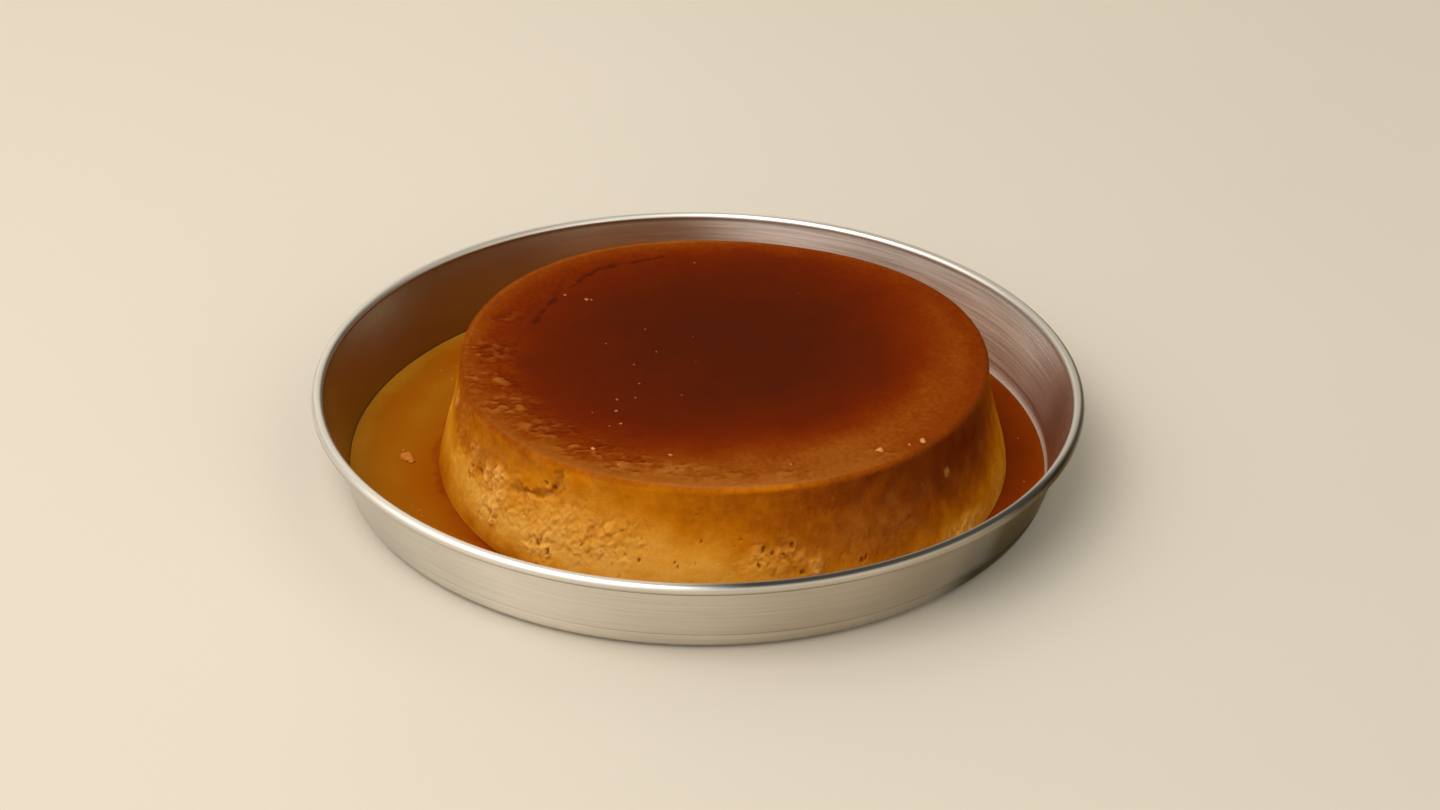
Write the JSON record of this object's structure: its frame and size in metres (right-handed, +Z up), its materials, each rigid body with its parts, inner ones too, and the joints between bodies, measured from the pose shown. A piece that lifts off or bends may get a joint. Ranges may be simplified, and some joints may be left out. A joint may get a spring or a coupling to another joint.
{
  "type": "flan cheesecake in a round pan",
  "caption": "Round flan cheesecake turned out onto a shallow spun metal pan, glazed with dark caramel that pools around its foot.",
  "frame": {"origin": "centre of the pan's underside, where it stands on the table", "axes": "+Z up through the pan's axis; the flan lies a little off centre towards +X, so the caramel pool is widest towards -X, and -Y is the front"},
  "size_m": [0.305, 0.305, 0.0476],
  "materials": {
    "brushed_aluminium": "spun and brushed, satin",
    "baked_custard": "moist baked custard, porous, stained with caramel",
    "liquid_caramel": "wet, glossy amber syrup"
  },
  "bodies": {
    "root": {"pan": "brushed_aluminium", "flan": "baked_custard", "caramel_pool": "liquid_caramel"}
  },
  "joints": []
}
